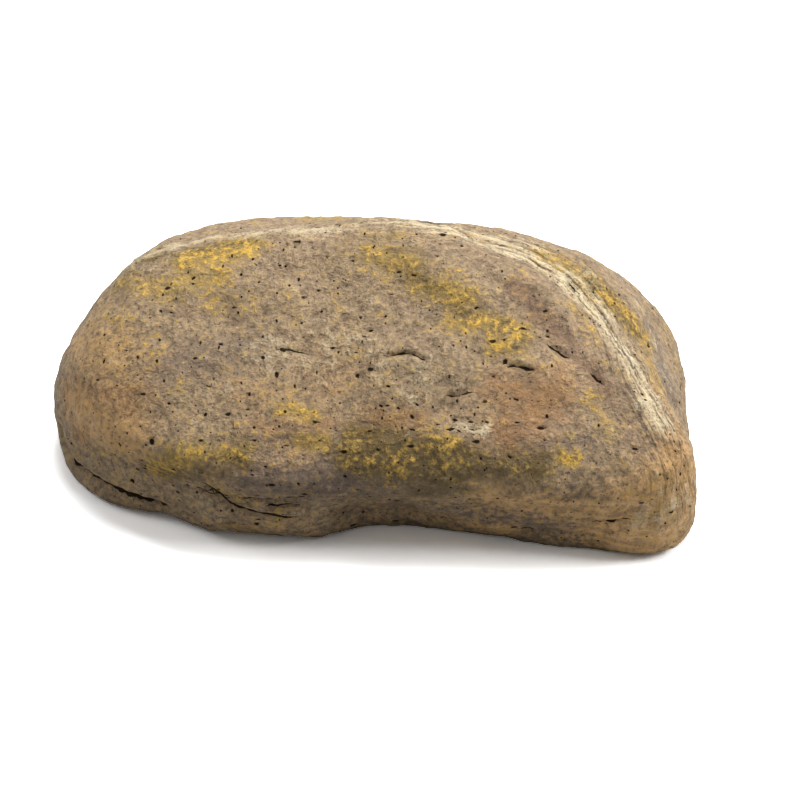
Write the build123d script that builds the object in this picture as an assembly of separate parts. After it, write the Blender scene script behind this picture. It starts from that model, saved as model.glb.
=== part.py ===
"""Hollow garden rock with a hinged key compartment in its underside.

Frame: +X along the rock to the right, +Y away from the front, +Z up.
Origin: middle of the footprint, on the surface that the rock stands on.
"""
from build123d import *
from math import atan2, cos, exp, log, pi, radians, sin, sqrt
import os

# Rock
rock_length = 115.0
rock_width = 80.0
rock_height = 42.0
rock_wall = 5.0  # casting over the hollow
rim_width = 5.0  # foot of the shell round the base plate
ledge_width = 3.0  # shelf in the shell that the base plate seats against
edge_sharpness = 11.0  # higher gives crisper edges between the rock's faces

# Base plate
base_recess = 1.0  # underside above the floor
base_thickness = 8.5
base_gap = 0.2  # cement joint round the plate
boss_diameter = 6.5
boss_height = 3.0

# Key compartment, inner size
box_length = 60.0
box_width = 26.0
box_depth = 14.0
box_wall = 1.6
box_corner = 4.0
box_shift = 1.0  # towards the back of the rock
flange_side = 1.6  # flange outside the door's edge
flange_roof = 1.4  # flange above the door's seat
flange_gap = 0.2  # flange in the base plate's rebate
opening_gap = 0.4  # box in the base plate's opening
gasket_thickness = 0.8
gasket_inset = 0.8

# Door
door_thickness = 2.0
door_sink = 0.2  # outer face above the flange's face
door_gap = 0.3
seat_side = 2.0  # door beyond the mouth at the long sides
door_rib_width = 1.2
door_rib_height = 0.8
door_rib_gap = 0.6
seal_width = 1.3
seal_height = 0.4
seal_gap = 0.1
swing_gap = 0.8  # behind the door's back edge, whose inner corner swings past
bead_length = 8.0
bead_spacing = 44.0
bead_reach = 0.2
scoop_width = 18.0  # finger scoop in front of the door's edge
scoop_radius = 6.0
scoop_depth = 3.2
scoop_shift = 1.5  # scoop's middle in front of the door's edge
grip_groove_count = 4
grip_groove_length = 18.0
grip_groove_pitch = 2.4
grip_groove_width = 1.0
grip_groove_depth = 0.5
grip_groove_edge = 3.0  # first groove from the door's edge

# Hinge
pin_diameter = 1.5
pin_clearance = 0.05
pin_grip = 5.0  # each end of the pin in the flange
knuckle_radius = 1.5
knuckle_length = 10.0
knuckle_count = 3
lug_length = 8.0
hinge_end_gap = 0.3
hinge_gap = 0.3

# Screws
screw_diameter = 2.2
screw_head = 4.2
screw_head_height = 1.1
screw_length = 7.5
screw_clearance = 0.05
screw_drive = 1.4
screw_drive_depth = 0.7
screw_spacing = 17.0  # across the box

# Foam pad
pad_thickness = 2.0
pad_gap = 0.5

# The rock is drawn at this size and then stretched to the rock's own
drawn_centre = (0.0, -2.0, 15.0)
# Each face: azimuth from +X towards +Y, elevation, distance from the centre
rock_faces = {
    "top slope": (-95, 58, 23.5),
    "crown": (180, 83, 28.6),
    "right crown": (-8, 73, 30.5),
    "back slope": (88, 48, 27.6),
    "back foot": (90, 4, 41.5),
    "back left": (145, 25, 45.0),
    "back left top": (128, 54, 35.5),
    "back right": (48, 22, 49.0),
    "back right top": (50, 55, 34.0),
    "left end": (178, 24, 50.5),
    "left top": (172, 50, 42.5),
    "left foot": (182, -10, 60.0),
    "left front": (-126, 2, 41.5),
    "front": (-90, -4, 37.5),
    "right end": (-12, 12, 60.0),
    "right slope": (2, 40, 45.5),
    "under front": (-95, -41.5, 33.1),
    "under front left": (-111, -34, 41.0),
    "under left": (180, -40, 50.0),
    "under right": (0, -45, 52.0),
    "under back": (90, -42, 40.0),
}
# Each ridge or hollow: a run between two points, its spread and how far it stands out
rock_folds = {
    "right nose": ((50, -32, 0), (54, -30, 12), 14, 2.3),
    "front hollow": ((4, -38, 3), (20, -38, 4), 11, -4.5),
    "left lip": ((-22, -33, 4), (-8, -34, 4), 8, 2.0),
    "crest": ((4, 4, 41), (28, -6, 36), 7, 1.3),
    "low crest": ((28, -6, 36), (48, -28, 20), 7, 1.8),
    "right groove": ((24, 6, 38), (46, -10, 26), 6, -2.2),
    "right band": ((40, 8, 30), (54, -10, 16), 5, 1.3),
    "left shoulder": ((-44, -22, 18), (-14, -34, 20), 7, 1.2),
    "middle shoulder": ((8, -34, 20), (26, -34, 21), 7, 1.6),
    "front middle": ((-16, -38, 10), (10, -38, 10), 9, -1.8),
}
ring_points = 64
ring_levels = 13
blend_width = 1.5  # how softly the hollow's side turns into its roof
overlap = 1.0  # how far a cutter runs past what it cuts

# Worked out from the sizes above
base_top = base_recess + base_thickness
door_face = base_recess + door_sink
door_top = door_face + door_thickness
seat_height = door_top + seal_height + seal_gap
flange_top = seat_height + flange_roof
rebate_top = flange_top + gasket_thickness
roof_height = seat_height + box_depth
rib_length = box_length - 2 * door_rib_gap
rib_width = box_width - 2 * door_rib_gap
seal_length = rib_length + 2 * seal_width
seal_breadth = rib_width + 2 * seal_width
screw_x = seal_length / 2 + screw_head / 2 + door_gap
screw_y = screw_spacing / 2
door_length = 2 * screw_x + screw_head + 2 * door_gap
door_front = box_shift - box_width / 2 - seat_side
door_back = box_shift + box_width / 2 + seat_side
door_middle = (door_front + door_back) / 2
door_width = door_back - door_front
bead_height = door_face + door_thickness / 2
hinge_y = door_back + knuckle_radius + hinge_gap
hinge_z = base_recess + knuckle_radius
flange_length = door_length + 2 * door_gap + 2 * flange_side
flange_front = door_front - door_gap - flange_side
flange_back = hinge_y + knuckle_radius + hinge_gap + flange_side
flange_middle = (flange_front + flange_back) / 2
flange_width = flange_back - flange_front
lug_count = knuckle_count - 1
hinge_pitch = knuckle_length + lug_length + 2 * hinge_end_gap
slot_length = lug_count * hinge_pitch + knuckle_length + 2 * hinge_end_gap
pin_length = slot_length + 2 * pin_grip


def face_normal(azimuth, elevation):
    """Unit vector at an azimuth and elevation in degrees."""
    level = cos(radians(elevation))
    return (
        cos(radians(azimuth)) * level,
        sin(radians(azimuth)) * level,
        sin(radians(elevation)),
    )


def dot(a, b):
    """Scalar product."""
    return sum(p * q for p, q in zip(a, b))


def distance_to_run(point, start, end):
    """Distance from a point to the straight run between two points."""
    run = [e - s for s, e in zip(start, end)]
    offset = [p - s for s, p in zip(start, point)]
    share = min(max(dot(offset, run) / dot(run, run), 0), 1)
    return sqrt(sum((o - share * r) ** 2 for o, r in zip(offset, run)))


def form_radius(direction, inset=0.0, stretch=(1, 1, 1)):
    """Distance from the drawn centre to the rock's skin, or to a skin set in by some mm."""
    total = 0.0
    for azimuth, elevation, distance in rock_faces.values():
        normal = face_normal(azimuth, elevation)
        facing = dot(direction, normal)
        if facing > 0:
            drawn_inset = inset * sqrt(sum((n / s) ** 2 for n, s in zip(normal, stretch)))
            total += (facing / (distance - drawn_inset)) ** edge_sharpness
    radius = total ** (-1 / edge_sharpness)
    point = [c + radius * d for c, d in zip(drawn_centre, direction)]
    for start, end, spread, rise in rock_folds.values():
        radius += rise * exp(-((distance_to_run(point, start, end) / spread) ** 2))
    return radius


def drawn_limits(turns=120, tilts=60):
    """Lowest and highest X and Y, and the highest point, of the drawn rock above the floor."""
    points = []
    for i in range(turns):
        for j in range(tilts):
            direction = face_normal(360 * i / turns, -20 + 110 * j / tilts)
            radius = form_radius(direction)
            points.append([c + radius * d for c, d in zip(drawn_centre, direction)])
    points = [p for p in points if p[2] >= 0]
    low = [min(p[axis] for p in points) for axis in (0, 1)]
    high = [max(p[axis] for p in points) for axis in (0, 1)]
    return low, high, max(points, key=lambda p: p[2])


low, high, drawn_peak = drawn_limits()
stretch = (
    rock_length / (high[0] - low[0]),
    rock_width / (high[1] - low[1]),
    rock_height / drawn_peak[2],
)
drawn_middle = ((low[0] + high[0]) / 2, (low[1] + high[1]) / 2, 0.0)
peak = [(p - m) * s for p, m, s in zip(drawn_peak, drawn_middle, stretch)]


def is_inside(point, inset):
    """Whether a point lies inside the rock's skin, set in by some mm."""
    drawn = [p / s + m for p, s, m in zip(point, stretch, drawn_middle)]
    offset = [d - c for d, c in zip(drawn, drawn_centre)]
    length = sqrt(dot(offset, offset))
    if length < 1e-6:
        return True
    return length < form_radius([o / length for o in offset], inset, stretch)


def last_inside(point_at, inset, limit):
    """Furthest distance, up to a limit, at which point_at(distance) is inside."""
    near = 0.0
    far = limit
    while far - near > 0.001:
        middle = (near + far) / 2
        if is_inside(point_at(middle), inset):
            near = middle
        else:
            far = middle
    return near


def ring_angle(index):
    """Angle of a ring's point, closer together at the rock's ends."""
    turn = 2 * pi * index / ring_points
    return atan2(rock_width * sin(turn), rock_length * cos(turn))


def skin_ring(height, inset=0.0):
    """Distances from the upright line through the peak to the skin, round one level."""
    distances = []
    for index in range(ring_points):
        angle = ring_angle(index)

        def point_at(distance):
            return (peak[0] + distance * cos(angle), peak[1] + distance * sin(angle), height)

        distances.append(last_inside(point_at, inset, rock_length))
    return distances


def ring_wire(distances, height):
    """Closed smooth outline through a ring of distances."""
    points = []
    for index, distance in enumerate(distances):
        angle = ring_angle(index)
        points.append((peak[0] + distance * cos(angle), peak[1] + distance * sin(angle), height))
    steps = [float(index) for index in range(ring_points + 1)]
    return Wire([Edge.make_spline(points, periodic=True, parameters=steps)])


def domed_levels(bottom, top):
    """Heights from bottom to just under top, closer together near the top."""
    return [bottom + (top - bottom) * sin(pi / 2 * i / ring_levels) for i in range(ring_levels)]


def ring_prism(distances, bottom, top):
    """Upright solid with a ring as its outline."""
    return extrude(Face(ring_wire(distances, bottom)), amount=top - bottom, dir=(0, 0, 1))


def slab(length, width, bottom, top, middle=(0, 0), corner=0.0):
    """Upright block, with rounded corners where a radius is given."""
    outline = RectangleRounded(length, width, corner) if corner else Rectangle(length, width)
    return Pos(middle[0], middle[1], bottom) * extrude(outline, amount=top - bottom)


def lengthwise_rod(radius, length, y, z, x=0.0):
    """Round bar along X."""
    return Pos(x, y, z) * Rot(0, 90, 0) * Cylinder(radius, length)


def one_solid(shape):
    """The single solid of a shape, which a part is expected to be."""
    solids = shape.solids()
    assert len(solids) == 1, f"expected one solid, got {len(solids)}"
    return solids[0]


foot_ring = skin_ring(0.0)
mouth_ring = [distance - rim_width for distance in foot_ring]
ledge_ring = [distance - ledge_width for distance in mouth_ring]
plate_ring = [distance - base_gap for distance in mouth_ring]
knuckle_places = [(i - lug_count / 2) * hinge_pitch for i in range(knuckle_count)]
lug_places = [(i - (lug_count - 1) / 2) * hinge_pitch for i in range(lug_count)]
bead_places = [-bead_spacing / 2, bead_spacing / 2]
screw_places = [(x, box_shift + y) for x in (-screw_x, screw_x) for y in (-screw_y, screw_y)]


def rock_body():
    """The whole rock, solid."""
    wires = [ring_wire(skin_ring(z), z) for z in domed_levels(0.0, rock_height)]
    return Solid.make_loft(wires + [Vertex(*peak)])


def rock_hollow():
    """Room inside the rock above the base plate, no wider than the ledge."""

    def point_at(height):
        return (peak[0], peak[1], height)

    top = last_inside(point_at, rock_wall, rock_height)
    wires = []
    for z in domed_levels(base_top - overlap, top):
        ring = []
        for roof, ledge in zip(skin_ring(z, rock_wall), ledge_ring):
            ring.append(-blend_width * log(exp(-roof / blend_width) + exp(-ledge / blend_width)))
        wires.append(ring_wire(ring, z))
    return Solid.make_loft(wires + [Vertex(peak[0], peak[1], top)])


def rock_shell():
    """Cast outer stone, open underneath."""
    mouth = ring_prism(mouth_ring, -overlap, base_top)
    return one_solid(rock_body() - mouth - rock_hollow())


def rock_base():
    """Cast plate that closes the shell and carries the key box."""
    plate = ring_prism(plate_ring, base_recess, base_top)
    for x, y in screw_places:
        plate += Pos(x, y, base_top) * Cylinder(
            boss_diameter / 2, boss_height, align=(Align.CENTER, Align.CENTER, Align.MIN)
        )
    plate -= slab(
        flange_length + 2 * flange_gap,
        flange_width + 2 * flange_gap,
        base_recess - overlap,
        rebate_top,
        (0, flange_middle),
        box_corner + flange_gap,
    )
    plate -= slab(
        box_length + 2 * (box_wall + opening_gap),
        box_width + 2 * (box_wall + opening_gap),
        base_recess - overlap,
        base_top + boss_height + overlap,
        (0, box_shift),
        box_corner + box_wall + opening_gap,
    )
    pilot_top = seat_height + screw_length + screw_clearance
    for x, y in screw_places:
        plate -= Pos(x, y, base_recess) * Cylinder(
            screw_diameter / 2 + screw_clearance,
            pilot_top - base_recess,
            align=(Align.CENTER, Align.CENTER, Align.MIN),
        )
    plate -= finger_scoop()
    return one_solid(plate)


def finger_scoop():
    """Trough in the flange and base plate that lets a fingertip reach the door's edge."""
    y = door_front - scoop_shift
    z = base_recess + scoop_depth - scoop_radius
    reach = scoop_width / 2 - scoop_radius
    scoop = lengthwise_rod(scoop_radius, 2 * reach, y, z)
    return scoop + Pos(-reach, y, z) * Sphere(scoop_radius) + Pos(reach, y, z) * Sphere(scoop_radius)


def key_box():
    """Moulded compartment: flange with the door's seat, deep box and hinge lugs."""
    box = slab(flange_length, flange_width, base_recess, flange_top, (0, flange_middle), box_corner)
    box += slab(
        box_length + 2 * box_wall,
        box_width + 2 * box_wall,
        base_recess,
        roof_height + box_wall,
        (0, box_shift),
        box_corner + box_wall,
    )
    box -= slab(
        door_length + 2 * door_gap,
        door_width + door_gap + swing_gap,
        base_recess - overlap,
        seat_height,
        (0, door_middle + (swing_gap - door_gap) / 2),
        box_corner / 2,
    )
    box -= slab(box_length, box_width, seat_height - overlap, roof_height, (0, box_shift), box_corner)
    slot_back = hinge_y + knuckle_radius + hinge_gap
    slot_top = hinge_z + knuckle_radius + hinge_gap
    box -= slab(
        slot_length,
        slot_back - door_middle,
        base_recess - overlap,
        slot_top,
        (0, (slot_back + door_middle) / 2),
    )
    for x in lug_places:
        box += lengthwise_rod(knuckle_radius, lug_length, hinge_y, hinge_z, x)
        box += slab(lug_length, 2 * knuckle_radius, hinge_z, flange_top, (x, hinge_y))
    box -= lengthwise_rod(pin_diameter / 2 + pin_clearance, pin_length, hinge_y, hinge_z)
    for x in bead_places:
        box -= lengthwise_rod(
            bead_reach, bead_length + 2 * door_gap, door_front - door_gap, bead_height, x
        )
    box -= finger_scoop()
    for x, y in screw_places:
        box -= Pos(x, y, seat_height) * screw_shape(screw_clearance)
    return one_solid(box)


def screw_shape(growth=0.0):
    """Countersunk screw, head down at z = 0, or the hole that clears it."""
    shank = Cylinder(
        screw_diameter / 2 + growth,
        screw_length,
        align=(Align.CENTER, Align.CENTER, Align.MIN),
    )
    head = Cone(
        screw_head / 2 + growth,
        screw_diameter / 2 + growth,
        screw_head_height,
        align=(Align.CENTER, Align.CENTER, Align.MIN),
    )
    return shank + head


def box_screws():
    """Four screws through the flange into the base plate's bosses."""
    screws = []
    for x, y in screw_places:
        drive = slab(screw_drive * 2, screw_drive / 3, -overlap, screw_drive_depth)
        drive += slab(screw_drive / 3, screw_drive * 2, -overlap, screw_drive_depth)
        screws.append(one_solid(Pos(x, y, seat_height) * (screw_shape() - drive)))
    return Compound(children=screws)


def box_gasket():
    """Flat ring between the flange and the base plate's rebate."""
    ring = slab(
        flange_length - 2 * gasket_inset,
        flange_width - 2 * gasket_inset,
        flange_top,
        rebate_top,
        (0, flange_middle),
        box_corner - gasket_inset,
    )
    ring -= slab(
        box_length + 2 * (box_wall + opening_gap),
        box_width + 2 * (box_wall + opening_gap),
        flange_top - overlap,
        rebate_top + overlap,
        (0, box_shift),
        box_corner + box_wall + opening_gap,
    )
    for x, y in screw_places:
        ring -= Pos(x, y, flange_top) * Cylinder(screw_diameter / 2 + door_gap, 4 * gasket_thickness)
    return one_solid(ring)


def box_door():
    """Door with its rib, snap beads, grip grooves and hinge knuckles."""
    door = slab(door_length, door_width, door_face, door_top, (0, door_middle), box_corner / 2)
    rib_corner = box_corner - door_rib_gap
    door += slab(rib_length, rib_width, door_top, door_top + door_rib_height, (0, box_shift), rib_corner)
    door -= slab(
        rib_length - 2 * door_rib_width,
        rib_width - 2 * door_rib_width,
        door_top,
        door_top + door_rib_height + overlap,
        (0, box_shift),
        rib_corner - door_rib_width,
    )
    for x in knuckle_places:
        door += lengthwise_rod(knuckle_radius, knuckle_length, hinge_y, hinge_z, x)
        door += slab(
            knuckle_length,
            hinge_y - door_middle,
            door_face,
            door_top,
            (x, (hinge_y + door_middle) / 2),
        )
    door -= lengthwise_rod(pin_diameter / 2 + pin_clearance, pin_length, hinge_y, hinge_z)
    for x in bead_places:
        door += lengthwise_rod(bead_reach, bead_length, door_front, bead_height, x)
    for i in range(grip_groove_count):
        y = door_front + grip_groove_edge + i * grip_groove_pitch
        door -= slab(
            grip_groove_length,
            grip_groove_width,
            door_face - overlap,
            door_face + grip_groove_depth,
            (0, y),
            grip_groove_width * 0.49,
        )
    return one_solid(door)


def door_seal():
    """Rubber ring on the door, round its rib."""
    corner = box_corner - door_rib_gap
    ring = slab(
        seal_length,
        seal_breadth,
        door_top,
        door_top + seal_height,
        (0, box_shift),
        corner + seal_width,
    )
    ring -= slab(
        rib_length,
        rib_width,
        door_top - overlap,
        door_top + seal_height + overlap,
        (0, box_shift),
        corner,
    )
    return one_solid(ring)


def hinge_pin():
    """Steel pin through the lugs and knuckles."""
    return lengthwise_rod(pin_diameter / 2, pin_length - 2 * pin_clearance, hinge_y, hinge_z)


def key_pad():
    """Foam sheet on the deep wall of the box, which stops keys rattling."""
    return slab(
        box_length - 2 * pad_gap,
        box_width - 2 * pad_gap,
        roof_height - pad_thickness,
        roof_height,
        (0, box_shift),
        box_corner - pad_gap,
    )


os.makedirs("parts", exist_ok=True)
for make in (
    rock_shell,
    rock_base,
    key_box,
    box_gasket,
    box_screws,
    box_door,
    door_seal,
    hinge_pin,
    key_pad,
):
    export_step(make(), f"parts/{make.__name__}.step")
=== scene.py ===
from math import cos, pi, radians, sin

import bpy
import numpy as np
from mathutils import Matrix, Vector, kdtree, noise


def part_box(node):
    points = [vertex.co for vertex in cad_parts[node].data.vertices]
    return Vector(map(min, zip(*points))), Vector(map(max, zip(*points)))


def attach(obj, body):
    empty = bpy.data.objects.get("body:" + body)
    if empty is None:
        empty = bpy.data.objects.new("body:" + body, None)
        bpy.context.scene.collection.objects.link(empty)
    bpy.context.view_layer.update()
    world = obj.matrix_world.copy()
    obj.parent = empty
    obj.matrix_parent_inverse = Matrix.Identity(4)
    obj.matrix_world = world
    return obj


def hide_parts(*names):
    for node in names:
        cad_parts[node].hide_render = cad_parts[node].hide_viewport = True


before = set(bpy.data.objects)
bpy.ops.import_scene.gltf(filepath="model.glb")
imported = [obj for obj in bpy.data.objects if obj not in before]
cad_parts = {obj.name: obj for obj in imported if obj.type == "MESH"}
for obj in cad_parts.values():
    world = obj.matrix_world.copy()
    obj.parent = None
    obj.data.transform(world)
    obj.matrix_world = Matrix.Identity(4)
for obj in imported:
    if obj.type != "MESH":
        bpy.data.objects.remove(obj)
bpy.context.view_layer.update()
scene = bpy.context.scene
scene.view_settings.view_transform = "Standard"
print("frame loaded")


# ---- camera, floor and lamps

cameraSettings = {
    "elevation": 39,          # degrees above level
    "distance": 0.450,
    "viewWidth": 0.1482,      # metres across the picture at that distance
    "originAt": (374, 421),   # where the middle of the footprint shows in the picture
    "picture": 800,           # pixels each way
    "sensor": 36,
}


def addObject(name, data):
    thing = bpy.data.objects.new(name, data)
    scene.collection.objects.link(thing)
    return thing


def addCamera(settings):
    tilt = radians(settings["elevation"])
    toCamera = Vector((0, -cos(tilt), sin(tilt)))
    right = Vector((1, 0, 0))
    up = toCamera.cross(right)
    perPixel = settings["viewWidth"] / settings["picture"]
    x, y = settings["originAt"]
    half = settings["picture"] / 2
    target = right * ((half - x) * perPixel) + up * ((y - half) * perPixel)
    data = bpy.data.cameras.new("camera")
    data.sensor_width = settings["sensor"]
    data.lens = settings["sensor"] * settings["distance"] / settings["viewWidth"]
    camera = addObject("camera", data)
    camera.location = target + toCamera * settings["distance"]
    camera.rotation_euler = (-toCamera).to_track_quat("-Z", "Y").to_euler()
    scene.camera = camera


lampSettings = {
    # name: place, size, watts
    "softboxTop": ((0.08, 0.14, 0.70), (0.36, 0.30), 5.0),
    "softboxBack": ((0.14, 0.58, 0.40), (0.30, 0.20), 2.8),
    "softboxRight": ((0.48, -0.06, 0.40), (0.24, 0.24), 2.3),
    "softboxLeft": ((-0.50, -0.02, 0.50), (0.30, 0.30), 1.0),
}
skySettings = {"level": 0.12, "overhead": 0.30}    # at the horizon, and added towards the zenith


def addLamps(settings):
    for name, (place, size, watts) in settings.items():
        data = bpy.data.lights.new(name, "AREA")
        data.shape = "RECTANGLE"
        data.size, data.size_y = size
        data.energy = watts
        lamp = addObject(name, data)
        lamp.location = place
        lamp.rotation_euler = (-Vector(place)).to_track_quat("-Z", "Y").to_euler()


def addNode(tree, kind, **settings):
    node = tree.nodes.new(kind)
    for key, value in settings.items():
        setattr(node, key, value)
    return node


def plug(tree, source, socket):
    if isinstance(source, bpy.types.NodeSocket):
        tree.links.new(source, socket)
    elif hasattr(socket.default_value, "__len__") and len(source) == 3 and len(socket.default_value) == 4:
        socket.default_value = (*source, 1)
    else:
        socket.default_value = source


def seenDirectly(tree):
    return addNode(tree, "ShaderNodeLightPath").outputs["Is Camera Ray"]


def combine(tree, operation, first, second=0.0, third=None):
    node = addNode(tree, "ShaderNodeMath", operation=operation)
    plug(tree, first, node.inputs[0])
    plug(tree, second, node.inputs[1])
    if third is not None:
        plug(tree, third, node.inputs[2])
    return node.outputs[0]


def times(tree, first, second):
    return combine(tree, "MULTIPLY", first, second)


def timesPlus(tree, first, second, third):
    return combine(tree, "MULTIPLY_ADD", first, second, third)


def larger(tree, first, second):
    return combine(tree, "MAXIMUM", first, second)


floorSettings = {"reach": 3.0, "seenColour": 1.75, "bounceColour": 0.53}


def addFloor(settings):
    reach = settings["reach"]
    mesh = bpy.data.meshes.new("paperFloor")
    mesh.from_pydata([(-reach, -reach, 0), (reach, -reach, 0), (reach, reach, 0), (-reach, reach, 0)],
                     [], [(0, 1, 2, 3)])
    floor = addObject("paperFloor", mesh)
    material = bpy.data.materials.new("whitePaper")
    material.use_nodes = True
    tree = material.node_tree
    tree.nodes.clear()
    paper = addNode(tree, "ShaderNodeBsdfDiffuse")
    spare = settings["seenColour"] - settings["bounceColour"]
    grey = timesPlus(tree, seenDirectly(tree), spare, settings["bounceColour"])
    plug(tree, grey, paper.inputs["Color"])
    plug(tree, paper.outputs[0], addNode(tree, "ShaderNodeOutputMaterial").inputs["Surface"])
    mesh.materials.append(material)


def addSky(settings):
    world = bpy.data.worlds.new("studio")
    scene.world = world
    world.use_nodes = True
    tree = world.node_tree
    tree.nodes.clear()
    sky = addNode(tree, "ShaderNodeBackground")
    facing = addNode(tree, "ShaderNodeSeparateXYZ")
    plug(tree, addNode(tree, "ShaderNodeTexCoord").outputs["Generated"], facing.inputs[0])
    height = larger(tree, facing.outputs[2], 0)
    light = timesPlus(tree, height, settings["overhead"], settings["level"])
    spare = combine(tree, "SUBTRACT", 1, light)
    plug(tree, timesPlus(tree, seenDirectly(tree), spare, light), sky.inputs["Strength"])
    plug(tree, sky.outputs[0], addNode(tree, "ShaderNodeOutputWorld").inputs["Surface"])


addCamera(cameraSettings)
addLamps(lampSettings)
addFloor(floorSettings)
addSky(skySettings)
print("camera, floor and lamps are in")


# ---- the stone's form: flats seen from its middle, softened where they meet, and folds on them

stoneForm = {
    "middle": (0, -2, 15),
    "sharpness": 11,
    "flats": {
        # direction from +X towards +Y, height above level, distance in mm
        "top slope": (-95, 58, 23.5),
        "crown": (180, 83, 28.6),
        "right crown": (-8, 73, 30.5),
        "back slope": (88, 48, 27.6),
        "back foot": (90, 4, 41.5),
        "back left": (145, 25, 45.0),
        "back left top": (128, 54, 35.5),
        "back right": (48, 22, 49.0),
        "back right top": (50, 55, 34.0),
        "left end": (178, 24, 50.5),
        "left top": (172, 50, 42.5),
        "left foot": (182, -10, 60.0),
        "left front": (-126, 2, 41.5),
        "front": (-90, -4, 37.5),
        "right end": (-12, 12, 60.0),
        "right slope": (2, 40, 45.5),
        "under front": (-95, -41.5, 33.1),
        "under front left": (-111, -34, 41.0),
        "under left": (180, -40, 50.0),
        "under right": (0, -45, 52.0),
        "under back": (90, -42, 40.0),
    },
    "folds": {
        # start, end, spread, rise
        "right nose": ((50, -32, 0), (54, -30, 12), 14, 2.3),
        "front hollow": ((4, -38, 3), (20, -38, 4), 11, -4.5),
        "left lip": ((-22, -33, 4), (-8, -34, 4), 8, 2.0),
        "crest": ((4, 4, 41), (28, -6, 36), 7, 1.3),
        "low crest": ((28, -6, 36), (48, -28, 20), 7, 1.8),
        "right groove": ((24, 6, 38), (46, -10, 26), 6, -2.2),
        "right band": ((40, 8, 30), (54, -10, 16), 5, 1.3),
        "left shoulder": ((-44, -22, 18), (-14, -34, 20), 7, 1.2),
        "middle shoulder": ((8, -34, 20), (26, -34, 21), 7, 1.6),
        "front middle": ((-16, -38, 10), (10, -38, 10), 9, -1.8),
    },
}


def smooth(value, low, high):
    t = np.clip((value - low) / (high - low), 0, 1)
    return t * t * (3 - 2 * t)


def runDistance(points, start, end):
    start, end = np.array(start, float), np.array(end, float)
    run = end - start
    along = np.clip((points - start) @ run / (run @ run), 0, 1)
    return np.linalg.norm(points - start - along[..., None] * run, axis=-1)


def swell(points, runs):
    # each run lifts what is near it by its rise
    return [rise * np.exp(-(runDistance(points, start, end) / spread) ** 2)
            for start, end, spread, rise in runs]


def formRadius(directions):
    total = 0
    for around, above, distance in stoneForm["flats"].values():
        a, b = radians(around), radians(above)
        facing = np.array((cos(a) * cos(b), sin(a) * cos(b), sin(b)))
        total = total + (np.maximum(directions @ facing, 0) / distance) ** stoneForm["sharpness"]
    radius = total ** (-1 / stoneForm["sharpness"])
    points = np.array(stoneForm["middle"]) + directions * radius[..., None]
    for lift in swell(points, stoneForm["folds"].values()):
        radius = radius + lift
    return radius


def unit(vectors):
    return vectors / np.linalg.norm(vectors, axis=-1, keepdims=True)


def drawnPoints(directions):
    return np.array(stoneForm["middle"]) + directions * formRadius(directions)[..., None]


def fitToBox(around=721, above=361):
    # the drawn form, measured at this many places, is stretched to the size of the CAD shell
    around, above = np.meshgrid(np.linspace(0, 2 * pi, around), np.linspace(-pi / 2, pi / 2, above))
    flat = np.cos(above)
    points = drawnPoints(np.stack((np.cos(around) * flat, np.sin(around) * flat, np.sin(above)), -1))
    points = points[points[..., 2] >= 0]
    low, high = points.min(0), points.max(0)
    size = [1000 * (b - a) for a, b in zip(*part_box("rock_shell"))]
    stretch = np.array((size[0] / (high[0] - low[0]), size[1] / (high[1] - low[1]), size[2] / high[2]))
    return np.array(((low[0] + high[0]) / 2, (low[1] + high[1]) / 2, 0)), stretch


drawnMiddle, stretch = fitToBox()

skinGrid = {
    "across": 216, "deep": 148, "rows": 82,      # faces along and over the top, and down the side
    "frontBias": 0.30,                           # how far the faces crowd towards the front
    "spread": (57, 40, 28),                      # where the top's corners point, in mm
    "halvings": 40, "trackSteps": 160,           # how finely the side's way down is followed
}


def skinDirections(grid):
    # one patch on top, then a band whose columns start from the patch's edge
    across, deep = grid["across"], grid["deep"]
    u = np.linspace(-1, 1, across + 1)
    v = np.linspace(-1, 1, deep + 1)
    v = v + grid["frontBias"] * (v * v - 1) / 2
    px, py, pz = grid["spread"]
    x = px * np.tan(u * pi / 4)
    y = py * np.tan(v * pi / 4)
    gx, gy = np.meshgrid(x, y)
    top = unit(np.stack((gx, gy, np.full_like(gx, pz)), -1))
    number = np.arange((across + 1) * (deep + 1)).reshape(deep + 1, across + 1)
    edge = np.concatenate((number[0, :-1], number[:-1, -1], number[-1, :0:-1], number[:0:-1, 0]))
    return top.reshape(-1, 3), number, edge


def bandPoints(start, grid):
    # down from the patch's edge to the floor, evenly spaced
    flat = unit(start[:, :2])
    high = np.arcsin(start[:, 2])
    low, up = np.full(len(start), -pi / 2.2), np.zeros(len(start))

    def place(angle):
        c = np.cos(angle)[..., None]
        return drawnPoints(np.concatenate((flat * c, np.sin(angle)[..., None]), -1))

    for _ in range(grid["halvings"]):
        middle = (low + up) / 2
        under = place(middle)[:, 2] < 0
        low, up = np.where(under, middle, low), np.where(under, up, middle)
    rows, steps = grid["rows"], grid["trackSteps"]
    angles = [high + (up - high) * k / steps for k in range(steps + 1)]
    track = np.stack([place(a) for a in angles])
    length = np.zeros((steps + 1, len(start)))
    length[1:] = np.cumsum(np.linalg.norm(np.diff(track, axis=0), axis=-1), axis=0)
    wanted = np.linspace(0, 1, rows + 1)[1:]
    band = np.empty((rows, len(start), 3))
    for column in range(len(start)):
        share = length[:, column] / length[-1, column]
        for axis in range(3):
            band[:, column, axis] = np.interp(wanted, share, track[:, column, axis])
    band[-1, :, 2] = 0
    return band


insideSettings = {
    "plateGap": 0.2,         # round the base plate
    "outlinePoints": 72, "outlineReach": 0.12, "plateHole": 20,
    "ledgeHeight": 9.5, "ledgeWidth": 3, "hollowTop": 35, "edgeRound": 0.35,
    "domeTurns": (22, 45, 68),
}


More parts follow.
